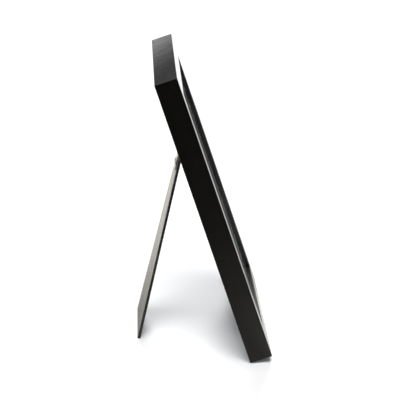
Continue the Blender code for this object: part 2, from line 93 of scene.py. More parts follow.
# Sheets
SHEET_EDGE = 0.12 * MM
GLASS_EDGE = 0.25 * MM
BOARD_EDGE = 0.12 * MM
SHEET_CORNER_RADIUS = 0.5 * MM
WINDOW_WIDTH = 114 * MM
WINDOW_HEIGHT = 165 * MM
WINDOW_CORNER_RADIUS = 0.15 * MM
BEVEL_LEAN = (0.5, 0.9)
LINER_THICKNESS = 0.55 * MM
LINER_EDGE = LINER_THICKNESS / 5
FLUTE_PITCH = 7.7 * MM
FLUTE_PAPER = 0.35 * MM
FLUTE_GAP = 0.025 * MM

# Turn buttons and screws
BUTTON_ROOT_RADIUS = 3.9 * MM
BUTTON_TIP_RADIUS = 2.2 * MM
BUTTON_REACH = 13 * MM
BUTTON_HOLE_RADIUS = 1.5 * MM
BUTTON_EDGE = 0.22 * MM
SCREW_HEAD_RADIUS = 3 * MM
SCREW_HEAD_HEIGHT = 1.4 * MM
SCREW_SHANK_RADIUS = 1.2 * MM
SCREW_THREAD_DEPTH = 0.28 * MM
SCREW_THREAD_PITCH = 1.1 * MM
SCREW_LENGTH = 10 * MM
SCREW_POINT_LENGTH = 2 * MM
SCREW_POINT_SHARE = 0.04
SCREW_FIRST_TURN = 0.4
SCREW_NEXT_TURN = 1.1
RECESS_ARM = 1.75 * MM
RECESS_HALF_WIDTH = 0.42 * MM
RECESS_END_WALL = RECESS_ARM / 3
RECESS_SIDE_WALL = RECESS_HALF_WIDTH / 3
RECESS_DEPTH = 1 * MM

# Hinge
PIN_RADIUS = 1 * MM
PIN_HEAD_RADIUS = 1.7 * MM
PIN_HEAD_LENGTH = 0.8 * MM
PIN_HEAD_EDGE = PIN_HEAD_LENGTH / 3
PIN_END_RADIUS = PIN_RADIUS / 3
LEAF_THICKNESS = 0.8 * MM
LEAF_EDGE = 0.3 * MM
LEAF_HALF_WIDTH = 11 * MM
KNUCKLE_HALF_WIDTH = 3.6 * MM
KNUCKLE_END_GAP = 0.4 * MM
TONGUE_WIDTH = 2.6 * MM
LEAF_NOTCH = 2.4 * MM
ROLL_RADIUS = 1.5 * MM
KNUCKLE_ROLL = math.radians(285)
RIVET_HEAD_RADIUS = 2.6 * MM
RIVET_HEAD_HEIGHT = 1 * MM
RIVET_SHANK_RADIUS = 1.2 * MM
RIVET_TAIL_RADIUS = 2.2 * MM
RIVET_TAIL_THICKNESS = 0.6 * MM
RIVET_TAIL_EDGE = RIVET_TAIL_THICKNESS / 6
RIVET_END_RADIUS = RIVET_SHANK_RADIUS / 2
RIVET_CROWN_ANGLE = 0.04
COUNTERBORE_GAP = 0.3 * MM

# Strut board
STRUT_SLOPE = math.radians(14.1)
STRUT_FOOT_WIDTH = 88 * MM
STRUT_TOP_WIDTH = 41 * MM
STRUT_TOP_RADIUS = 4 * MM
STRUT_FOOT_RADIUS = 0.4 * MM

# Fineness of the computed surfaces. The screw head's rings have the first and last share of its radius,
# and how many there are.
ARC_STEPS = 4
MITRE_STEPS = 5
STRUT_ARC_STEPS = 8
ROUND_POINTS = 48
ROLL_STEPS = 48
FLUTE_STEPS = 14
THREAD_RINGS = 90
DOME_RINGS = 14
RECESS_RINGS = (0.05, 0.66, 20)
RIM_RINGS = (0.7, 1, 8)
SMOOTH_ANGLE = math.radians(40)
EASED_ANGLE = math.radians(50)
EASED_STEPS = 3
GUARD = 0.1 * MM
WELD_DISTANCE = 0.0005 * MM
CUT_OVERRUN = 2 * MM

JOINTS = {joint["name"]: joint for joint in frame["joints"]}


# Axes

def tilted_axes(towards_back):
    """Rows across, up the piece and out of its front, from the direction in which its back faces."""
    front = -np.array(towards_back)
    across = np.array((1.0, 0.0, 0.0))
    return np.array((across, np.cross(front, across), front))


def node_points(node):
    """World places of a CAD node's corners."""
    vertices = frame["nodes"][node].data.vertices
    points = np.empty(len(vertices) * 3)
    vertices.foreach_get("co", points)
    return points.reshape(-1, 3)


FRAME_AXES = tilted_axes(JOINTS["button_top_turn"]["axis"])
LEAN_ANGLE = math.atan2(FRAME_AXES[1][1], FRAME_AXES[1][2])
STRUT_AXES = tilted_axes((0, math.cos(STRUT_SLOPE), math.sin(STRUT_SLOPE)))
PIN_PLACE = np.array(JOINTS["strut_fold"]["pos_m"])
FRAME_CORNER = (node_points("left_rail") @ FRAME_AXES.T).min(axis=0) * (0, 1, 1)


def in_frame(points):
    """World places of points given as across, up and depth from the bottom of the frame's back."""
    return (np.asarray(points) + FRAME_CORNER) @ FRAME_AXES


def frame_box(node):
    """Lowest and highest across, up and depth of a CAD node."""
    points = node_points(node) @ FRAME_AXES.T - FRAME_CORNER
    return points.min(axis=0), points.max(axis=0)


def in_strut(points):
    """World places of points given as across, up the strut and in front of the hinge pin's axis."""
    return np.asarray(points) @ STRUT_AXES + PIN_PLACE


def strut_box(node):
    """Lowest and highest across, up-strut and frontward places of a CAD node, from the pin's axis."""
    points = (node_points(node) - PIN_PLACE) @ STRUT_AXES.T
    return points.min(axis=0), points.max(axis=0)


FRAME_HIGH = frame_box("left_rail")[1][1]
FRAME_WIDE = 2 * frame_box("right_rail")[1][0]
HALF_HIGH = FRAME_HIGH / 2
HALF_WIDE = FRAME_WIDE / 2


# Outlines, as closed rows of points that run anticlockwise

def rounded_loop(corners, radii, steps=ARC_STEPS):
    """An outline whose corners are arcs: each swings evenly between its two tangent points, about the
    point that lies a radius from both sides. A guard point on each side keeps the flats flat."""
    corners = np.asarray(corners, float)
    radii = np.asarray(radii, float)[:, None]
    before = np.roll(corners, 1, axis=0) - corners
    after = np.roll(corners, -1, axis=0) - corners
    before /= np.linalg.norm(before, axis=1, keepdims=True)
    after /= np.linalg.norm(after, axis=1, keepdims=True)
    half = np.arccos(np.clip((before * after).sum(axis=1, keepdims=True), -1, 1)) / 2
    middle = (before + after) / np.linalg.norm(before + after, axis=1, keepdims=True)
    centre = corners + middle * radii / np.sin(half)
    reach = radii / np.tan(half)
    start = (corners + before * reach - centre)[:, None]
    end = (corners + after * reach - centre)[:, None]
    swing = (np.pi - 2 * half)[:, :, None]
    share = np.linspace(0, 1, steps + 1)[None, :, None]
    arcs = (start * np.sin((1 - share) * swing) + end * np.sin(share * swing)) / np.sin(swing)
    arcs += centre[:, None]
    first = corners + before * (reach + GUARD)
    last = corners + after * (reach + GUARD)
    return np.concatenate([first[:, None], arcs, last[:, None]], axis=1).reshape(-1, 2)


def rectangle_loop(low, high, radius):
    corners = [(low[0], low[1]), (high[0], low[1]), (high[0], high[1]), (low[0], high[1])]
    return rounded_loop(corners, [radius] * len(corners))


def arc(radius, turn):
    """The points of an arc about the origin, at each turn."""
    return np.stack([radius * np.cos(turn), radius * np.sin(turn)], axis=1)


def pear_loop(root_radius, tip_radius, reach):
    """A round root about the origin and a round tip at the reach: two arcs that share their tangents."""
    lean = math.asin((root_radius - tip_radius) / reach)
    half_turn = math.pi / 2 - lean
    tip = np.linspace(-half_turn, half_turn, ROUND_POINTS // 2)
    root = np.linspace(half_turn, 2 * math.pi - half_turn, ROUND_POINTS)
    return np.concatenate([arc(tip_radius, tip) + (reach, 0), arc(root_radius, root)])


def wedge_loop(wing, thickness):
    """A V with its point at the origin and its wings opening towards +x."""
    along = np.array((math.cos(NAIL_HALF_ANGLE), math.sin(NAIL_HALF_ANGLE)))
    across = np.array((-along[1], along[0])) * thickness / 2
    crotch = thickness / 2 / math.sin(NAIL_HALF_ANGLE)
    upper = np.array([along * wing + across, along * wing - across])
    return np.concatenate([[(-crotch, 0)], upper * (1, -1), [(crotch, 0)], upper[::-1]])


def spin(turn):
    """The matrix that turns rows of (across, up) places anticlockwise."""
    return np.array(((math.cos(turn), math.sin(turn)), (-math.sin(turn), math.cos(turn))))


def inset(loop, distance):
    """The outline moved inwards: each point slides along the bisector of its two sides."""
    after = np.roll(loop, -1, axis=0) - loop
    after /= np.linalg.norm(after, axis=1, keepdims=True)
    normal_after = np.stack([-after[:, 1], after[:, 0]], axis=1)
    normal_before = np.roll(normal_after, 1, axis=0)
    stretch = 1 + (normal_before * normal_after).sum(axis=1, keepdims=True)
    return loop + (normal_before + normal_after) * distance / stretch


# Surfaces, as rings of points

def edge_profile(low, high, edge):
    """How far in and how high each ring of a flat piece lies: two quarter arcs of the edge's radius."""
    turn = np.linspace(0, np.pi / 2, ARC_STEPS + 1)
    inwards, rise = edge * (1 - np.sin(turn)), edge * (1 - np.cos(turn))
    distances = np.concatenate([[edge + GUARD], inwards, inwards[::-1], [edge + GUARD]])
    heights = np.concatenate([[low], low + rise, high - rise[::-1], [high]])
    return distances, heights


def slab_rings(loop, low, high, edge):
    """Rings over the rim of a flat piece: the outline, moved in and up along the edge's profile."""
    distances, heights = edge_profile(low, high, edge)
    rings = np.stack([inset(loop, distance) for distance in distances])
    levels = np.broadcast_to(heights[:, None, None], (*rings.shape[:2], 1))
    return np.concatenate([rings, levels], axis=2)


def at_depth(loop, depth):
    """The outline's points with one third place for all."""
    return np.concatenate([loop, np.full((len(loop), 1), depth)], axis=1)


def round_rings(radius, height, turn):
    """The points at each radius and height, at each turn about the third axis."""
    return np.stack(np.broadcast_arrays(radius * np.cos(turn), radius * np.sin(turn), height), axis=2)


def turned_rings(profile):
    """A profile of (radius, height) carried round the third axis."""
    profile = np.asarray(profile, float)
    turn = np.linspace(0, 2 * np.pi, ROUND_POINTS, endpoint=False)
    return round_rings(profile[:, :1], profile[:, 1:], turn)


def ring_faces(rings, points, closed):
    """Quads that join point j of ring i to point j of ring i + 1, round each ring."""
    i = np.arange(rings if closed else rings - 1)[:, None]
    j = np.arange(points)[None, :]
    next_i, next_j = (i + 1) % rings * points, (j + 1) % points
    corners = (i * points + j, i * points + next_j, next_i + next_j, next_i + j)
    return np.stack(corners, axis=-1).reshape(-1, 4).tolist()


def surface(name, rings, closed=False):
    """A closed mesh over the rings: a tube whose two ends are faces, or a ring of rings."""
    count, points = rings.shape[:2]
    faces = ring_faces(count, points, closed)
    if not closed:
        faces.append(list(range(points)))
        faces.append(list(range((count - 1) * points, count * points)))
    mesh = bpy.data.meshes.new(name)
    mesh.from_pydata(rings.reshape(-1, 3).tolist(), [], faces)
    return mesh


def smooth(mesh):
    """Shades the mesh softly, but for its sharp edges."""
    mesh.shade_smooth()
    mesh.set_sharp_from_angle(angle=SMOOTH_ANGLE)


def tidy_mesh(mesh):
    """Merges doubled points and turns all faces outwards."""
    edit = bmesh.new()
    edit.from_mesh(mesh)
    bmesh.ops.remove_doubles(edit, verts=edit.verts, dist=WELD_DISTANCE)
    bmesh.ops.recalc_face_normals(edit, faces=edit.faces)
    edit.to_mesh(mesh)
    edit.free()
    mesh.validate()
    smooth(mesh)
    return mesh


def new_object(name, data):
    made = bpy.data.objects.new(name, data)
    bpy.context.scene.collection.objects.link(made)
    return made


def cut_out(piece, cutters):
    """Cuts the closed cutter meshes out of the piece and keeps the result as its mesh."""
    holders = []
    for cutter in cutters:
        holder = new_object("cutter", tidy_mesh(cutter))
        boolean = piece.modifiers.new("cut", "BOOLEAN")
        boolean.operation = "DIFFERENCE"
        boolean.solver = "EXACT"
        boolean.object = holder
        holders.append(holder)
    apply_modifiers(piece)
    for holder in holders:
        bpy.data.objects.remove(holder, do_unlink=True)


def apply_modifiers(piece):
    bpy.context.view_layer.update()
    evaluated = piece.evaluated_get(bpy.context.evaluated_depsgraph_get())
    made = bpy.data.meshes.new_from_object(evaluated)
    piece.modifiers.clear()
    piece.data = made
    smooth(made)


def stand_for(node, mesh, finishes):
    """The finished piece that is shown in a CAD node's place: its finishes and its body."""
    piece = new_object(f"finished_{node}", tidy_mesh(mesh))
    for finish in finishes:
        piece.data.materials.append(finish)
    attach(piece, frame["nodes"][node]["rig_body"])
    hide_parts(node)
    return piece


# Shader values

class Value:
    """A number that varies over a surface. Arithmetic on it adds Math nodes to its node tree."""

    def __init__(self, nodes, socket):
        self.nodes = nodes
        self.socket = socket

    def maths(self, operation, first, second):
        return self.nodes.add("ShaderNodeMath", {"operation": operation}, {0: first, 1: second})

    def __add__(self, other):
        return self.maths("ADD", self, other)

    def __radd__(self, other):
        return self.maths("ADD", other, self)

    def __sub__(self, other):
        return self.maths("SUBTRACT", self, other)

    def __rsub__(self, other):
        return self.maths("SUBTRACT", other, self)

    def __mul__(self, other):
        return self.maths("MULTIPLY", self, other)

    def __truediv__(self, other):
        return self.maths("DIVIDE", self, other)


class Nodes:
    """A material's or world's node tree. add() makes any node and gives one of its outputs."""

    def __init__(self, holder):
        holder.use_nodes = True
        self.holder = holder
        self.tree = holder.node_tree

    def add(self, kind, settings=None, inputs=None, output=0):
        node = self.tree.nodes.new(kind)
        for name, value in (settings or {}).items():
            if name == "stops":
                self.set_stops(node.color_ramp, value)
            else:
                setattr(node, name, value)
        for socket, value in (inputs or {}).items():
            self.put(node.inputs[socket], value)
        return Value(self, node.outputs[output])

    def put(self, socket, value):
        if isinstance(value, Value):
            self.tree.links.new(value.socket, socket)
        else:
            socket.default_value = value

    @staticmethod
    def set_stops(ramp, stops):
        while len(ramp.elements) < len(stops):
            ramp.elements.new(1)
        for element, (position, shade) in zip(ramp.elements, stops):
            element.position = position
            element.color = shade if hasattr(shade, "__len__") else (shade, shade, shade, 1)

    def ray(self, kind):
        """1 for light paths of this kind, 0 for all others."""
        return self.add("ShaderNodeLightPath", output=kind)

    def own_places(self):
        """The object's own coordinates."""
        return self.add("ShaderNodeTexCoord", output="Object")

    def along(self, places, axis):
        """One coordinate of places."""
        return self.add("ShaderNodeSeparateXYZ", {}, {"Vector": places}, axis)

    def places(self, turn):
        """The object's own coordinates turned about the across axis."""
        return self.add("ShaderNodeMapping", {}, {"Vector": self.own_places(), "Rotation": (turn, 0, 0)})

    def stretched(self, places, scale):
        """Places times a scale of its own for each axis."""
        return self.add("ShaderNodeVectorMath", {"operation": "MULTIPLY"}, {0: places, 1: scale})

    def noise(self, places, scale=1.0, detail=3.0, roughness=0.5):
        inputs = {"Vector": places, "Scale": scale, "Detail": detail, "Roughness": roughness}
        return self.add("ShaderNodeTexNoise", {}, inputs)

    def ramp(self, value, stops):
        return self.add("ShaderNodeValToRGB", {"stops": stops}, {"Fac": value})

    def mixed(self, share, first, second):
        """A colour between two colours."""
        return self.add("ShaderNodeMix", {"data_type": "RGBA"}, {0: share, 6: first, 7: second}, 2)

    def bumped(self, height, depth, strength=1.0):
        """The surface's normal over bumps of a real depth in metres."""
        return self.add("ShaderNodeBump", {}, {"Height": height, "Distance": depth, "Strength": strength})


class Finish(Nodes):
    """A material on a Principled shader, whose sockets set() fills with numbers, colours or values."""

    def __init__(self, name):
        super().__init__(bpy.data.materials.new(name))
        self.shader = self.tree.nodes["Principled BSDF"]

    def set(self, **sockets):
        for name, value in sockets.items():
            self.put(self.shader.inputs[name.replace("_", " ")], value)
        return self.holder


# Finishes: each one's darker and lighter colour, and the depth of its finest bumps

FRAME_TURN = LEAN_ANGLE - math.pi / 2
STRUT_TURN = -STRUT_SLOPE

WHITE = (1, 1, 1, 1)
BLACK = (0, 0, 0, 1)
PAINT_BLACK = (0.0018, 0.0017, 0.0012, 1)
DUST_TINT = (1, 0.97, 0.8)
PAINT_BUMPS = 0.005 * MM
BOARD_COLOURS = ((0.014, 0.0133, 0.0118, 1), (0.026, 0.0248, 0.0225, 1))
BOARD_BUMPS = 0.006 * MM
GLASS_COLOUR = (0.975, 0.99, 0.983, 1)
GLASS_SHADOW_COLOUR = (0.94, 0.957, 0.95, 1)
GLASS_INDEX = 1.52
MAT_COLOURS = ((0.83, 0.825, 0.80, 1), (0.87, 0.865, 0.845, 1))
MAT_BUMPS = 0.05 * MM
CORE_COLOURS = ((0.88, 0.88, 0.87, 1), (0.92, 0.92, 0.91, 1))
CORE_BUMPS = 0.03 * MM
PRINT_COLOURS = ((0.72, 0.72, 0.70, 1), (0.77, 0.77, 0.755, 1))
PRINT_BUMPS = 0.02 * MM
KRAFT_COLOURS = ((0.36, 0.24, 0.13, 1), (0.52, 0.38, 0.23, 1))
SPECK_COLOUR = (0.2, 0.12, 0.06, 1)
SPECK_STOPS = [(0.62, 0.0), (0.72, 1.0)]
KRAFT_BUMPS = 0.06 * MM
NICKEL_SHADE = (0.64, 0.63, 0.60)
ZINC_SHADE = (0.52, 0.53, 0.54)
WORN_SHARE = 0.82
STEEL_BUMPS = 0.015 * MM


def black_lacquer(name, grain, sheen, wave, dust):
    """Satin black paint over close-grained wood: its surface waves softly, the grain shows as faint ridges
    along the rail that hold a little dust, and the sheen wanders a little between them."""
    finish = Finish(name)
    places = finish.places(FRAME_TURN)
    pores = finish.noise(finish.stretched(places, grain), detail=3, roughness=0.6)
    mottle = finish.noise(places, scale=330, detail=3, roughness=0.55)
    waves = finish.noise(places, scale=75, detail=1)
    dusty = (*(dust * share for share in DUST_TINT), 1)
    return finish.set(
        Base_Color=finish.mixed(pores, PAINT_BLACK, dusty),
        Roughness=mottle * 0.05 + pores * 0.04 + sheen,
        Normal=finish.bumped(waves * wave + mottle * 0.6 + pores * 1.1, PAINT_BUMPS),
    )


def black_board(name):
    """Black paper pressed on fibreboard: fine pebbled tooth, long faint scuffs and a soft sheen."""
    finish = Finish(name)
    places = finish.places(STRUT_TURN)
    tooth = finish.noise(places, scale=1500, detail=2)
    scuffs = finish.noise(finish.stretched(places, (130, 130, 12)), detail=4, roughness=0.6)
    clouds = finish.noise(places, scale=38, detail=3)
    return finish.set(
        Base_Color=finish.mixed(clouds, *BOARD_COLOURS),
        Roughness=scuffs * 0.5 + clouds * 0.2 - 0.13,
        Normal=finish.bumped(tooth * 0.5 + scuffs, BOARD_BUMPS),
    )


def clear_glass(name):
    """Float glass with a faint green body. Soft light passes straight through it to the mat."""
    finish = Finish(name)
    finish.set(Base_Color=GLASS_COLOUR, Roughness=0.0, IOR=GLASS_INDEX, Transmission_Weight=1.0)
    clear = finish.add("ShaderNodeBsdfTransparent", {}, {"Color": GLASS_SHADOW_COLOUR})
    lighting = finish.ray("Is Shadow Ray") + finish.ray("Is Diffuse Ray")
    pane = Value(finish, finish.shader.outputs["BSDF"])
    shown = finish.add("ShaderNodeMixShader", {}, {0: lighting, 1: pane, 2: clear})
    finish.put(finish.tree.nodes["Material Output"].inputs["Surface"], shown)
    return finish.holder


def mat_paper(name):
    """Off-white facing paper with a fine felt-marked tooth."""
    finish = Finish(name)
    places = finish.places(FRAME_TURN)
    felt = finish.noise(places, scale=1100, detail=4, roughness=0.65)
    drift = finish.noise(places, scale=24, detail=2)
    return finish.set(
        Base_Color=finish.mixed(drift, *MAT_COLOURS),
        Roughness=0.88,
        Normal=finish.bumped(felt, MAT_BUMPS, strength=0.6),
    )


def mat_core(name):
    """The cut core of the mat, brighter than its face, with the knife's faint drag marks."""
    finish = Finish(name)
    places = finish.places(FRAME_TURN)
    drag = finish.noise(finish.stretched(places, (500, 500, 3000)), detail=3)
    return finish.set(
        Base_Color=finish.mixed(drag, *CORE_COLOURS),
        Roughness=0.95,
        Normal=finish.bumped(drag, CORE_BUMPS, strength=0.5),
    )


def picture_paper(name):
    """A bare sheet of smooth print paper, with the faintest fibre."""
    finish = Finish(name)
    places = finish.places(FRAME_TURN)
    fibre = finish.noise(finish.stretched(places, (300, 900, 300)), detail=4, roughness=0.6)
    return finish.set(
        Base_Color=finish.mixed(fibre, *PRINT_COLOURS),
        Roughness=fibre * 0.15 + 0.5,
        Normal=finish.bumped(fibre, PRINT_BUMPS, strength=0.5),
    )


def kraft_card(name):
    """Brown corrugated board: long fibres across the flutes and darker specks."""
    finish = Finish(name)
    places = finish.places(FRAME_TURN)
    fibre = finish.noise(finish.stretched(places, (240, 1400, 600)), detail=5, roughness=0.65)
    specks = finish.ramp(finish.noise(places, scale=900, detail=2), SPECK_STOPS)
    plain = finish.mixed(fibre, *KRAFT_COLOURS)
    return finish.set(
        Base_Color=finish.mixed(specks * 0.5, plain, SPECK_COLOUR),
        Roughness=0.9,
        Normal=finish.bumped(fibre, KRAFT_BUMPS, strength=0.7),
    )


def plated_steel(name, turn, shade, roughness, brush):
    """Plated steel: fine drawn lines along the sheet and soft cloudy wear in the sheen."""
    finish = Finish(name)
    places = finish.places(turn)
    lines = finish.noise(finish.stretched(places, brush), detail=3, roughness=0.6)
    wear = finish.noise(places, scale=260, detail=4, roughness=0.6)
    worn = (*(channel * WORN_SHARE for channel in shade), 1)
    return finish.set(
        Base_Color=finish.mixed(wear, worn, (*shade, 1)),
        Metallic=1.0,
        Roughness=lines * 0.12 + wear * 0.12 + roughness,
        Normal=finish.bumped(lines * 0.7 + wear * 0.3, STEEL_BUMPS, strength=0.6),
    )


UPRIGHT_LACQUER = black_lacquer("black_lacquer_grain_upright", grain=(900, 55, 900), sheen=0.07, wave=8,
                                dust=0.0033)
LEVEL_LACQUER = black_lacquer("black_lacquer_grain_level", grain=(40, 600, 600), sheen=0.07, wave=15,
                              dust=0.007)
SIGHT_EDGE = black_lacquer("sight_edge_lacquer", grain=(300, 300, 900), sheen=0.3, wave=8, dust=0.0033)
BOARD_BLACK = black_board("black_faced_board")
GLASS_CLEAR = clear_glass("picture_glass")
MAT_FACE = mat_paper("mat_facing_paper")
MAT_CORE = mat_core("mat_bevel_core")
SHEET_PAPER = picture_paper("bare_print_paper")
PAD_KRAFT = kraft_card("corrugated_kraft")
FRAME_NICKEL = plated_steel("nickel_steel_on_frame", FRAME_TURN, NICKEL_SHADE, roughness=0.16,
                            brush=(2600, 90, 2600))
STRUT_NICKEL = plated_steel("nickel_steel_on_strut", STRUT_TURN, NICKEL_SHADE, roughness=0.16,
                            brush=(2600, 2600, 90))
SCREW_ZINC = plated_steel("zinc_steel", FRAME_TURN, ZINC_SHADE, roughness=0.24, brush=(1500, 1500, 400))


# Rails

def moulding_loop():
    """The moulding's section: inwards from the outer side, and depth from the back."""
    lip_back = RAIL_DEPTH - LIP_THICKNESS
    corners = [
        (0, 0), (RIDGE_WIDTH, 0), (RIDGE_WIDTH, LEDGE_DROP), (RABBET_WALL, LEDGE_DROP),
        (RABBET_WALL, lip_back), (FACE_WIDTH, lip_back), (FACE_WIDTH, RAIL_DEPTH), (0, RAIL_DEPTH),
    ]
    radii = [
        BACK_EDGE_RADIUS, BACK_EDGE_RADIUS, HIDDEN_EDGE_RADIUS, HIDDEN_EDGE_RADIUS,
        HIDDEN_EDGE_RADIUS, HIDDEN_EDGE_RADIUS, FRONT_EDGE_RADIUS, FRONT_EDGE_RADIUS,
    ]
    return rounded_loop(corners, radii)


def rail_rings(length):
    """The moulding carried along its rail, with mitred ends. Ring by ring the distance t from the mitre
    grows; near it the outer side keeps radius - radius * cos(turn) inside its line, where
    t = radius * (cos(turn) - sin(turn)), so that the frame's outer corner is round."""
    loop = moulding_loop()
    rounding = np.linspace(MITRE_EASE, CORNER_RADIUS, MITRE_STEPS + 1)
    from_mitre = np.concatenate([[0], rounding, [CORNER_RADIUS + GUARD]])
    turn = np.arccos(np.clip(from_mitre / CORNER_RADIUS / math.sqrt(2), 0, math.sqrt(0.5))) - math.pi / 4
    eased = CORNER_RADIUS * (1 - np.cos(turn))
    half = []
    for distance, least in zip(from_mitre, eased):
        ring = inset(loop, MITRE_EASE) if distance == 0 else loop
        across = np.maximum(ring[:, 0], least)
        along = length / 2 - MITRE_HALF_GAP - distance - across
        half.append(np.stack([across, along, ring[:, 1]], axis=1))
    half = np.stack(half)
    return np.concatenate([half, half[::-1] * (1, -1, 1)])


def nail_places():
    """Each wedge nail's label, place, quarter of the frame, rails, and depth of the wood's surface."""
    for across_sign, side in ((-1, "left"), (1, "right")):
        for up_sign, level in ((1, "top"), (-1, "bottom")):
            for row, from_side, surface_depth in NAIL_ROWS:
                place = (across_sign * (HALF_WIDE - from_side), HALF_HIGH + up_sign * (HALF_HIGH - from_side))
                yield f"{level}_{side}_{row}", place, (across_sign, up_sign), (side, level), surface_depth


def wedge_at(place, quarter, wing, thickness):
    """The V's outline at its place, opening towards the frame's corner."""
    return wedge_loop(wing, thickness) @ spin(math.atan2(quarter[1], quarter[0])) + place


def nail_slots(rail):
    """Cutters for the slots of the nails that a rail shares with its neighbours."""
    cutters = []
    for _, place, quarter, rails, surface_depth in nail_places():
        if rail in rails:
            outline = wedge_at(place, quarter, NAIL_WING + SLOT_GAP, NAIL_THICKNESS + 2 * SLOT_GAP)
            rings = slab_rings(outline, surface_depth - CUT_OVERRUN, surface_depth + SLOT_DEPTH, SLOT_EDGE)
            cutters.append(surface("slot", in_frame(rings[1:-1])))
    return cutters


def make_rails():
    """Four mitred lengths of the moulding, with the nails' slots cut in their backs."""
    sides = {
        "left": (FRAME_HIGH, UPRIGHT_LACQUER, lambda a, b: (a - HALF_WIDE, b + HALF_HIGH)),
        "right": (FRAME_HIGH, UPRIGHT_LACQUER, lambda a, b: (HALF_WIDE - a, b + HALF_HIGH)),
        "top": (FRAME_WIDE, LEVEL_LACQUER, lambda a, b: (b, FRAME_HIGH - a)),
        "bottom": (FRAME_WIDE, LEVEL_LACQUER, lambda a, b: (b, a)),
    }
    for side, (length, lacquer, turned) in sides.items():
        rings = rail_rings(length)
        across, up = turned(rings[..., 0], rings[..., 1])
        mesh = surface(side, in_frame(np.stack([across, up, rings[..., 2]], axis=-1)))
        rail = stand_for(f"{side}_rail", mesh, [lacquer, SIGHT_EDGE])
        for face in rail.data.polygons:
            place = FRAME_AXES @ face.center - FRAME_CORNER
            from_side = min(HALF_WIDE - abs(place[0]), HALF_HIGH - abs(place[1] - HALF_HIGH))
            if abs(from_side - FACE_WIDTH) < WELD_DISTANCE:
                face.material_index = 1
        cut_out(rail, nail_slots(side))


def make_nails():
    """V-shaped nails, sunk a little below the wood."""
    for label, place, quarter, _, surface_depth in nail_places():
        start = surface_depth + NAIL_SINK
        outline = wedge_at(place, quarter, NAIL_WING, NAIL_THICKNESS)
        rings = slab_rings(outline, start, start + NAIL_LENGTH, NAIL_EDGE)
        stand_for(f"wedge_nail_{label}", surface(label, in_frame(rings[1:-1])), [SCREW_ZINC])


# Sheets in the rabbet

def make_sheet(node, edge, finish):
    """A flat sheet with eased edges that fills its CAD node's box."""
    low, high = frame_box(node)
    loop = rectangle_loop(low[:2], high[:2], SHEET_CORNER_RADIUS)
    stand_for(node, surface(node, in_frame(slab_rings(loop, low[2], high[2], edge))), [finish])


def make_mat():
    """The window mat: rings run over its outer edge, in across its face, down the bevel that leans at 45
    degrees, and back under it. The faces that lean show its core."""
    low, high = frame_box("window_mat")
    outline = rectangle_loop(low[:2], high[:2], SHEET_CORNER_RADIUS)
    outer = slab_rings(outline, low[2], high[2], SHEET_EDGE)
    middle = (low + high)[:2] / 2
    half = np.array((WINDOW_WIDTH, WINDOW_HEIGHT)) / 2
    thickness = high[2] - low[2]
    bevel = []
    for grow, depth in ((thickness + GUARD, high[2]), (thickness, high[2]), (0, low[2]), (GUARD, low[2])):
        loop = rectangle_loop(middle - half - grow, middle + half + grow, WINDOW_CORNER_RADIUS)
        bevel.append(at_depth(loop, depth))
    rings = np.concatenate([outer, np.stack(bevel)])
    mat = stand_for("window_mat", surface("window_mat", in_frame(rings), closed=True), [MAT_FACE, MAT_CORE])
    for face in mat.data.polygons:
        if BEVEL_LEAN[0] < abs(np.dot(face.normal, FRAME_AXES[2])) < BEVEL_LEAN[1]:
            face.material_index = 1


def flute_rings(low, high):
    """The pad's wavy middle paper: height follows a cosine of the place across, and the paper's two faces
    lie half its thickness along the wave's normal."""
    width = high[0] - low[0]
    waves = round(width / FLUTE_PITCH)
    across = np.linspace(low[0], high[0], waves * FLUTE_STEPS + 1)
    phase = 2 * np.pi * waves * (across - low[0]) / width
    swing = (high[2] - low[2] - 2 * LINER_THICKNESS - FLUTE_PAPER) / 2 - FLUTE_GAP
    height = (low[2] + high[2]) / 2 + swing * np.cos(phase)
    slope = -swing * np.sin(phase) * 2 * np.pi * waves / width
    length = np.sqrt(1 + slope ** 2)
    shift = np.stack([-slope / length, 1 / length], axis=1) * FLUTE_PAPER / 2
    line = np.stack([across, height], axis=1)
    section = np.concatenate([line + shift, (line - shift)[::-1]])
    section[:, 0] = np.clip(section[:, 0], low[0], high[0])
    return np.stack([at_depth(section, end)[:, [0, 2, 1]] for end in (low[1], high[1])])


def join_meshes(name, meshes):
    """One mesh of several closed shells."""
    joined = bmesh.new()
    for mesh in meshes:
        joined.from_mesh(tidy_mesh(mesh))
    made = bpy.data.meshes.new(name)
    joined.to_mesh(made)
    joined.free()
    return made


def make_pad():
    """Corrugated board: two liners and the fluted paper between them."""
    low, high = frame_box("filler_pad")
    loop = rectangle_loop(low[:2], high[:2], SHEET_CORNER_RADIUS)
    back = slab_rings(loop, low[2], low[2] + LINER_THICKNESS, LINER_EDGE)
    front = slab_rings(loop, high[2] - LINER_THICKNESS, high[2], LINER_EDGE)
    shells = [surface("liner", in_frame(rings)) for rings in (back, front, flute_rings(low, high))]
    stand_for("filler_pad", join_meshes("filler_pad", shells), [PAD_KRAFT])


def make_sheets():
    make_sheet("glass_pane", GLASS_EDGE, GLASS_CLEAR)
    make_mat()
    make_sheet("picture_sheet", SHEET_EDGE, SHEET_PAPER)
    make_pad()
    make_sheet("backing_board", BOARD_EDGE, BOARD_BLACK)


# Turn buttons and screws

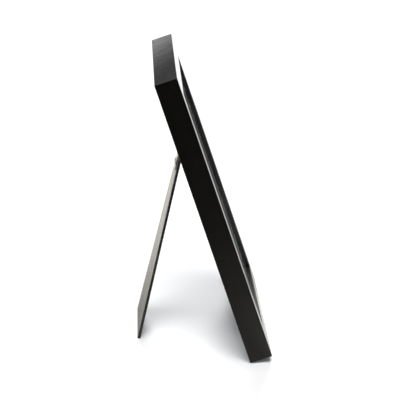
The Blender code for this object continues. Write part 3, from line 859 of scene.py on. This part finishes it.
def make_button(label, inwards):
    """A stamped pear-shaped button round its screw, pointing inwards; the hole's points lie on the lines
    from its centre to the outline's points."""
    node = f"turn_button_{label}"
    low, high = frame_box(node)
    screw_low, screw_high = frame_box(f"button_screw_{label}")
    centre = (screw_low + screw_high)[:2] / 2
    pear = pear_loop(BUTTON_ROOT_RADIUS, BUTTON_TIP_RADIUS, BUTTON_REACH)
    hole = pear / np.linalg.norm(pear, axis=1, keepdims=True)
    outer = slab_rings(pear, low[2], high[2], BUTTON_EDGE)
    edge = BUTTON_EDGE
    steps = ((edge, high[2]), (0, high[2] - edge), (0, low[2] + edge), (edge, low[2]))
    inner = [at_depth(hole * (BUTTON_HOLE_RADIUS + grow), depth) for grow, depth in steps]
    rings = np.concatenate([outer, np.stack(inner)])
    rings[..., :2] = rings[..., :2] @ spin(inwards) + centre
    stand_for(node, surface(node, in_frame(rings), closed=True), [FRAME_NICKEL])
    return centre


def screw_rings():
    """A pan head with a cross recess, and a threaded shank. The head's height over the seat is
    height * sqrt(1 - (r / radius)^2), less the recess inside the cross; the shank's radius is the core
    plus a squared cosine of the turn and the place along it, and narrows to the point."""
    turn = np.linspace(0, 2 * np.pi, ROUND_POINTS, endpoint=False)[None, :]
    share = np.concatenate([np.linspace(*RECESS_RINGS), np.linspace(*RIM_RINGS)])[:, None]
    radius = share * SCREW_HEAD_RADIUS
    x, y = abs(radius * np.cos(turn)), abs(radius * np.sin(turn))
    cross = np.clip((RECESS_HALF_WIDTH - np.minimum(x, y)) / RECESS_SIDE_WALL, 0, 1)
    cross = cross * np.clip((RECESS_ARM - np.maximum(x, y)) / RECESS_END_WALL, 0, 1)
    dome = SCREW_HEAD_HEIGHT * np.sqrt(np.clip(1 - share ** 2, 0, 1))
    head = round_rings(radius, dome - RECESS_DEPTH * cross, turn)
    height = np.linspace(0, -SCREW_LENGTH, THREAD_RINGS)[:, None]
    narrowing = np.clip((height + SCREW_LENGTH) / SCREW_POINT_LENGTH, SCREW_POINT_SHARE, 1)
    thread = (0.5 + 0.5 * np.cos(2 * np.pi * height / SCREW_THREAD_PITCH + turn)) ** 2
    plain = np.clip(-height / SCREW_THREAD_PITCH, 0, 1)
    thread = 1 - plain * (1 - thread)
    shank_radius = (SCREW_SHANK_RADIUS - SCREW_THREAD_DEPTH * (1 - thread)) * narrowing
    return np.concatenate([head, round_rings(shank_radius, height, turn)])


def make_screw(label, centre, recess_turn):
    """The screw, its head standing on its seat behind the button."""
    node = f"button_screw_{label}"
    rings = screw_rings()
    rings[..., :2] = rings[..., :2] @ spin(recess_turn) + centre
    rings[..., 2] = frame_box(node)[0][2] + SCREW_HEAD_HEIGHT - rings[..., 2]
    stand_for(node, surface(node, in_frame(rings)), [SCREW_ZINC])


def make_buttons():
    quarter = math.pi / 2
    turns = {"left_lower": 0, "left_upper": 0, "right_lower": math.pi, "right_upper": math.pi,
             "top": -quarter, "bottom": quarter}
    for number, (label, inwards) in enumerate(turns.items()):
        centre = make_button(label, inwards)
        make_screw(label, centre, SCREW_FIRST_TURN + number * SCREW_NEXT_TURN)


# Easel hinge

def knuckle_path(start):
    """A leaf's end, as (outward, up) places: straight up to the axis and then rolled round it."""
    turn = np.linspace(0, KNUCKLE_ROLL, ROLL_STEPS + 1)
    return np.concatenate([[(ROLL_RADIUS, start)], arc(ROLL_RADIUS, turn)])


def strips_mesh(name, strips, place):
    """Bent sheet metal's middle surface: each strip's columns carried along its path, welded together."""
    vertices, faces = [], []
    for columns, path in strips:
        columns, path = np.asarray(columns, float), np.asarray(path, float)
        start = sum(len(block) for block in vertices)
        points = np.stack(np.broadcast_arrays(columns, path[:, :1], path[:, 1:]), axis=2)
        vertices.append(place(points.reshape(-1, 3)))
        i, j = np.meshgrid(np.arange(len(path) - 1), np.arange(len(columns) - 1), indexing="ij")
        corner = start + i * len(columns) + j
        quads = np.stack([corner, corner + 1, corner + 1 + len(columns), corner + len(columns)], axis=-1)
        faces += quads.reshape(-1, 4).tolist()
    mesh = bpy.data.meshes.new(name)
    mesh.from_pydata(np.concatenate(vertices).tolist(), [], faces)
    return mesh


def thicken_leaf(leaf):
    """Gives the sheet its gauge and eases its edges."""
    gauge = leaf.modifiers.new("gauge", "SOLIDIFY")
    gauge.thickness = LEAF_THICKNESS
    gauge.offset = 0
    gauge.use_even_offset = True
    ease = leaf.modifiers.new("eased_edges", "BEVEL")
    ease.width = LEAF_EDGE
    ease.segments = EASED_STEPS
    ease.limit_method = "ANGLE"
    ease.angle_limit = EASED_ANGLE
    apply_modifiers(leaf)


def leaf_columns():
    """Where a leaf's strips begin and end: from its middle outwards, and all across it."""
    tongue_inner = KNUCKLE_HALF_WIDTH + KNUCKLE_END_GAP
    tongue_outer = tongue_inner + TONGUE_WIDTH
    half = (KNUCKLE_HALF_WIDTH, tongue_inner, tongue_outer, tongue_outer + KNUCKLE_END_GAP, LEAF_HALF_WIDTH)
    return half, [-x for x in reversed(half)] + list(half)


def on_strut(points):
    """World places of (across, outward, up) points about the pin, in the strut's axes."""
    return in_strut(points[:, [0, 2, 1]] * (1, 1, -1))


def on_back(points):
    """World places of (across, outward, up) points about the pin, in the frame's axes."""
    return points[:, [0, 2, 1]] * (1, 1, -1) @ FRAME_AXES + PIN_PLACE


def make_strut_leaf():
    """Plate, middle knuckle, and a stop tongue on each side of it that runs on past the pin."""
    half, columns = leaf_columns()
    knuckle, tongue_inner, tongue_outer = half[:3]
    low, high = strut_box("hinge_strut_leaf")
    tongue = [(ROLL_RADIUS, -LEAF_NOTCH), (ROLL_RADIUS, high[1])]
    mesh = strips_mesh("hinge_strut_leaf", [
        (columns, [(ROLL_RADIUS, low[1]), (ROLL_RADIUS, -LEAF_NOTCH)]),
        ([-knuckle, knuckle], knuckle_path(-LEAF_NOTCH)),
        ([-tongue_outer, -tongue_inner], tongue),
        ([tongue_inner, tongue_outer], tongue),
    ], on_strut)
    thicken_leaf(stand_for("hinge_strut_leaf", mesh, [STRUT_NICKEL]))


def make_back_leaf():
    """The same leaf turned over: a plate above the pin and a knuckle at each side."""
    half, columns = leaf_columns()
    outer, edge = half[3:]
    top = ((node_points("hinge_back_leaf") - PIN_PLACE) @ FRAME_AXES[1]).max()
    rolled = -knuckle_path(-LEAF_NOTCH)
    mesh = strips_mesh("hinge_back_leaf", [
        (columns, [(-ROLL_RADIUS, top), (-ROLL_RADIUS, LEAF_NOTCH)]),
        ([-edge, -outer], rolled),
        ([outer, edge], rolled),
    ], on_back)
    thicken_leaf(stand_for("hinge_back_leaf", mesh, [FRAME_NICKEL]))


def rivet_profile(grip):
    """Crown to tail: a dome that follows a quarter ellipse, a rounded rim, the shank and the flat tail."""
    turn = np.linspace(RIVET_CROWN_ANGLE, np.pi / 2, DOME_RINGS)
    dome = np.stack([RIVET_HEAD_RADIUS * np.sin(turn), RIVET_HEAD_HEIGHT * np.cos(turn)], axis=1)
    tail_top = RIVET_TAIL_THICKNESS - grip
    ease = RIVET_TAIL_EDGE
    rest = [
        (RIVET_SHANK_RADIUS, 0), (RIVET_SHANK_RADIUS, tail_top),
        (RIVET_TAIL_RADIUS - ease, tail_top), (RIVET_TAIL_RADIUS, tail_top - ease),
        (RIVET_TAIL_RADIUS, ease - grip), (RIVET_TAIL_RADIUS - ease, -grip), (RIVET_END_RADIUS, -grip),
    ]
    return np.concatenate([dome, rest])


def make_rivets(label, box, place_of, steel):
    """Two rivets, each with its head standing on the leaf."""
    for side in ("left", "right"):
        node = f"{label}_rivet_{side}"
        low, high = box(node)
        grip = high[2] - low[2] - RIVET_HEAD_HEIGHT
        rings = turned_rings(rivet_profile(grip))
        rings[..., 2] = low[2] + RIVET_HEAD_HEIGHT - rings[..., 2]
        rings[..., :2] += (low + high)[:2] / 2
        stand_for(node, surface(node, place_of(rings)), [steel])


def make_pin():
    """A plain pin with two peened heads whose rims are rounded."""
    low, high = frame_box("hinge_pin")
    end = high[0]
    inner = end - PIN_HEAD_LENGTH
    ease = PIN_HEAD_EDGE
    turn = np.linspace(0, np.pi / 2, ARC_STEPS + 1)
    rim = np.stack([PIN_HEAD_RADIUS - ease * (1 - np.sin(turn)), end - ease * (1 - np.cos(turn))], axis=1)
    upper = np.concatenate([[(PIN_END_RADIUS, end)], rim, [(PIN_HEAD_RADIUS, inner), (PIN_RADIUS, inner)]])
    profile = np.concatenate([upper, upper[::-1] * (1, -1)])
    rings = turned_rings(profile)[..., [2, 0, 1]] + (0, *(low + high)[1:] / 2)
    stand_for("hinge_pin", surface("hinge_pin", in_frame(rings)), [FRAME_NICKEL])


def make_hinge():
    make_back_leaf()
    make_strut_leaf()
    make_pin()
    make_rivets("back", frame_box, in_frame, FRAME_NICKEL)
    make_rivets("strut", strut_box, in_strut, STRUT_NICKEL)


# Strut

def make_strut():
    """The tapered board: its outline's lower half slides with depth, so that the foot lies level on the
    floor, and each rivet's tail sits in a counterbore."""
    low, high = strut_box("strut_board")
    foot, top = low[1], high[1]
    corners = [(-STRUT_FOOT_WIDTH / 2, foot), (STRUT_FOOT_WIDTH / 2, foot),
               (STRUT_TOP_WIDTH / 2, top), (-STRUT_TOP_WIDTH / 2, top)]
    radii = [STRUT_FOOT_RADIUS, STRUT_FOOT_RADIUS, STRUT_TOP_RADIUS, STRUT_TOP_RADIUS]
    rings = slab_rings(rounded_loop(corners, radii, STRUT_ARC_STEPS), low[2], high[2], BOARD_EDGE)
    lower = rings[..., 1] < (foot + top) / 2
    rings[..., 1] += np.where(lower, (rings[..., 2] - low[2]) * math.tan(STRUT_SLOPE), 0)
    board = stand_for("strut_board", surface("strut_board", in_strut(rings)), [BOARD_BLACK])
    cutters = []
    for side in ("left", "right"):
        rivet_low, rivet_high = strut_box(f"strut_rivet_{side}")
        radius = RIVET_TAIL_RADIUS + COUNTERBORE_GAP
        bottom = rivet_high[2] - RIVET_TAIL_THICKNESS - COUNTERBORE_GAP
        bore = turned_rings([(radius, bottom), (radius, high[2] + CUT_OVERRUN)])
        bore[..., :2] += (rivet_low + rivet_high)[:2] / 2
        cutters.append(surface("counterbore", in_strut(bore)))
    cut_out(board, cutters)


make_rails()
make_nails()
make_sheets()
make_buttons()
make_hinge()
make_strut()


# Floor, light and camera

FLOOR_SIZE = 40.0
FLOOR_DROP = 0.05 * MM
CAMERA_PLACE = (-1.50551, 0.05427, 0.56206)
CAMERA_YAW = math.radians(-2.1157)
CAMERA_PITCH = math.radians(-16.0012)
CAMERA_ROLL = math.radians(-0.6622)
CAMERA_LENS_MM = 140.342
CAMERA_CLIP_START = 0.01
CAMERA_CLIP_END = 100

# The floor's colour, with painted light on the camera's side: a whiter paint there lifts the far lamps'
# shadow in front of the frame's foot. Ramps run from 0 at one metre on that side to 1 at one metre on the
# far side
FLOOR_WHITE = (0.889, 0.896, 0.911, 1)
FLOOR_PAINTED_LIGHT_WHITE = (0.985, 0.985, 0.985, 1)
PAINTED_LIGHT_NEARER = [(0.43, 1.0), (0.441, 0.0)]
# Painted shade that glossy rays alone see on the floor: how bright they see it, on the same ramp and on one
# that runs from 0 at one metre in front of the frame to 1 at one metre behind it, where a painted shadow lies
# round the frame, and the warm painted shadow tint that they see on that second ramp
MIRRORED_PAINTED_SHADE = [(0.0, 0.04), (0.22, 0.1), (0.33, 0.26), (0.42, 0.53), (0.58, 0.95)]
BEHIND_PAINTED_SHADOW = [(0.46, 1.0), (0.53, 0.44), (0.55, 0.52), (0.557, 1.0), (0.6, 0.68)]
PAINTED_SHADOW_WARM = (1.0, 0.985, 0.9, 1)
PAINTED_SHADOW_WARMER = (1.0, 0.95, 0.87, 1)
PAINTED_SHADOW_TINT = [(0.455, 1.0), (0.475, PAINTED_SHADOW_WARM), (0.5, PAINTED_SHADOW_WARM), (0.54, PAINTED_SHADOW_WARMER)]
# The share of that brightness taken off ahead of the frame as a painted shadow, by metres to the far side
# times the scale
AHEAD_PAINTED_SHADOW_SPAN = [(0.475, 1.0), (0.482, 0.0)]
AHEAD_PAINTED_SHADOW = [(0.018, 0.0), (0.05, 0.5), (0.3, 0.45), (0.44, 0.42), (0.52, 0.0)]
AHEAD_SCALE = 0.4

CARD_DISTANCE = 0.5
CARD_WIDTH = 1.2
CARD_FOOT = 0.26
CARD_TOP = 0.5
# How brightly the card glows as a painted reflection, by the share of its top's height
CARD_REFLECTION_GLOW = [(0.58, 1.35), (0.66, 0.76), (0.672, 0.62), (0.702, 0.26), (0.728, 0.08), (0.752, 0.0),
             (0.775, 0.15)]

# The room: its even light, and how bright glossy rays see it by height and from the camera's side to the
# far side, where it glows
DOME_LEVEL = 0.02
ROOM_BAND = [(0.02, 1.0), (0.12, 0.1), (0.24, 0.1), (0.36, 1.0), (0.64, 1.0), (0.8, 0.35)]
ROOM_SIDES = [(0.02, 0.05), (0.3, 1.0)]
FAR_GLOW = [(0.4, 0.0), (0.8, 1.0)]
# Each lamp's share of the light on a level surface, and its spread, height and bearing in degrees
LAMPS = {"near_lamp": (0.31, 26, 55, 180), "high_lamp": (0.28, 28, 72, 180), "far_lamp": (0.17, 20, 30, 0)}
FLOOR_LAMPS = {"far_floor_lamp": (0.42, 16, 20, 0), "near_floor_lamp": (0.075, 12, 10, 180),
               "back_floor_lamp": (0.105, 24, 30, 90), "left_floor_lamp": (0.1, 26, 55, 215),
               "right_floor_lamp": (0.07, 26, 55, 145)}
OBJECT_LAMPS = {"front_lamp": (0.25, 60, 45, 270), "rear_lamp": (0.3, 60, 45, 90)}


def flat_object(name, corners, place):
    """A single face of four corners, moved to its place."""
    mesh = bpy.data.meshes.new(name)
    mesh.from_pydata(corners, [], [(0, 1, 2, 3)])
    made = new_object(name, mesh)
    made.location = place
    return made


def centred(value):
    """A value from -1 to 1 as a ramp's place from 0 to 1."""
    return value * 0.5 + 0.5


def make_floor():
    """A wide white floor. Glossy rays alone see painted shade on it: dim towards the camera's side, which
    keeps the near rail black, and a dim, warm painted shadow round the frame where its shadow would lie."""
    half = FLOOR_SIZE / 2
    corners = [(-half, -half, 0), (half, -half, 0), (half, half, 0), (-half, half, 0)]
    floor = flat_object("floor", corners, (0, 0, -FLOOR_DROP))
    paper = Finish("white_floor")
    own = paper.own_places()
    away = paper.along(own, "X")
    place, depth = centred(away), centred(paper.along(own, "Y"))
    # Painted shade and shadow for glossy rays alone: darker towards the camera, ahead of and round the frame,
    # and warm round it
    painted_shadow_ahead = paper.ramp(away * AHEAD_SCALE, AHEAD_PAINTED_SHADOW) * paper.ramp(depth, AHEAD_PAINTED_SHADOW_SPAN)
    level = paper.ramp(place, MIRRORED_PAINTED_SHADE) * paper.ramp(depth, BEHIND_PAINTED_SHADOW) * (1 - painted_shadow_ahead)
    painted_reflection_shade = paper.mixed(level, BLACK, paper.ramp(depth, PAINTED_SHADOW_TINT))
    # Painted light: the whiter paint on the camera's side lifts the far lamps' shadow in front of the frame's
    # foot
    white = paper.mixed(paper.ramp(place, PAINTED_LIGHT_NEARER), FLOOR_WHITE, FLOOR_PAINTED_LIGHT_WHITE)
    shade = paper.mixed(paper.ray("Is Glossy Ray"), white, painted_reflection_shade)
    floor.data.materials.append(paper.set(Base_Color=shade, Roughness=1.0, Specular_IOR_Level=0.0))
    return floor


def make_card():
    """A card hung across the far side that glows, though it is no lamp, and that only glossy rays see: a
    painted reflection, whose faded upper part the top rail mirrors."""
    half = CARD_WIDTH / 2
    corners = [(0, -half, CARD_FOOT), (0, half, CARD_FOOT), (0, half, CARD_TOP), (0, -half, CARD_TOP)]
    card = flat_object("card", corners, (CARD_DISTANCE, 0, 0))
    card.visible_camera = False
    card.visible_diffuse = False
    card.visible_transmission = False
    card.visible_shadow = False
    paper = Finish("glowing_reflection_card")
    painted_reflection_glow = paper.ramp(paper.along(paper.own_places(), "Z") / CARD_TOP, CARD_REFLECTION_GLOW)
    card.data.materials.append(paper.set(Base_Color=BLACK, Roughness=1.0, Specular_IOR_Level=0.0,
                                         Emission_Color=painted_reflection_glow, Emission_Strength=1.0))


def light_group(name, floor, link_state):
    """A group that lamps light, which takes in the floor alone or all but the floor."""
    group = bpy.data.collections.new(name)
    group.objects.link(floor)
    group.collection_objects[0].light_linking.link_state = link_state
    return group


def hang_lamp(name, share, spread, elevation, azimuth, lit):
    """A far soft lamp that gives a level white surface this share of its full brightness. It lights the
    group lit, or everything. Glossy surfaces mirror the room and the card in place of it."""
    lamp = bpy.data.lights.new(name, "SUN")
    lamp.energy = share * math.pi / math.sin(math.radians(elevation))
    lamp.angle = math.radians(spread)
    hung = new_object(name, lamp)
    hung.rotation_euler = (0, math.radians(90 - elevation), math.radians(azimuth))
    hung.visible_glossy = False
    if lit:
        hung.light_linking.receiver_collection = lit


def light_scene(floor):
    """Three lamps light everything, five the floor alone, two all but the floor, and a faint even dome
    fills in. Camera and transmission rays see white round about, and glossy rays a room that is dark on
    the camera's side, with a white horizon and a higher white band on the far side."""
    world = bpy.data.worlds.new("studio")
    bpy.context.scene.world = world
    dome = Nodes(world)
    direction = dome.add("ShaderNodeTexCoord", output="Generated")
    height, away = dome.along(direction, "Z"), dome.along(direction, "X")
    room = dome.ramp(height, ROOM_BAND) * dome.ramp(centred(away), ROOM_SIDES)
    room = room * (1 + dome.ramp(away, FAR_GLOW))
    soft = (DOME_LEVEL, DOME_LEVEL, DOME_LEVEL, 1)
    shade = dome.mixed(dome.ray("Is Camera Ray") + dome.ray("Is Transmission Ray"), soft, WHITE)
    shade = dome.mixed(dome.ray("Is Glossy Ray"), shade, room)
    dome.put(dome.tree.nodes["Background"].inputs["Color"], shade)
    floor_alone = light_group("floor_alone", floor, "INCLUDE")
    all_but_floor = light_group("all_but_floor", floor, "EXCLUDE")
    for lamps, lit in ((LAMPS, None), (FLOOR_LAMPS, floor_alone), (OBJECT_LAMPS, all_but_floor)):
        for name, lamp in lamps.items():
            hang_lamp(name, *lamp, lit)


def place_camera():
    """A pinhole from its place, turned by yaw and pitch, then rolled about its line of sight."""
    lens = bpy.data.cameras.new("camera")
    lens.lens = CAMERA_LENS_MM
    lens.clip_start = CAMERA_CLIP_START
    lens.clip_end = CAMERA_CLIP_END
    camera = new_object("camera", lens)
    forward = np.array((math.cos(CAMERA_PITCH) * math.cos(CAMERA_YAW),
                        math.cos(CAMERA_PITCH) * math.sin(CAMERA_YAW), math.sin(CAMERA_PITCH)))
    level = np.cross(forward, (0, 0, 1))
    level /= np.linalg.norm(level)
    above = np.cross(level, forward)
    right = math.cos(CAMERA_ROLL) * level + math.sin(CAMERA_ROLL) * above
    above = math.cos(CAMERA_ROLL) * above - math.sin(CAMERA_ROLL) * level
    turned = np.eye(4)
    turned[:3, :3] = np.stack([right, above, -forward], axis=1)
    turned[:3, 3] = CAMERA_PLACE
    camera.matrix_world = Matrix(turned.tolist())
    bpy.context.scene.camera = camera


make_card()
light_scene(make_floor())
place_camera()
bpy.context.scene.view_settings.view_transform = "Standard"
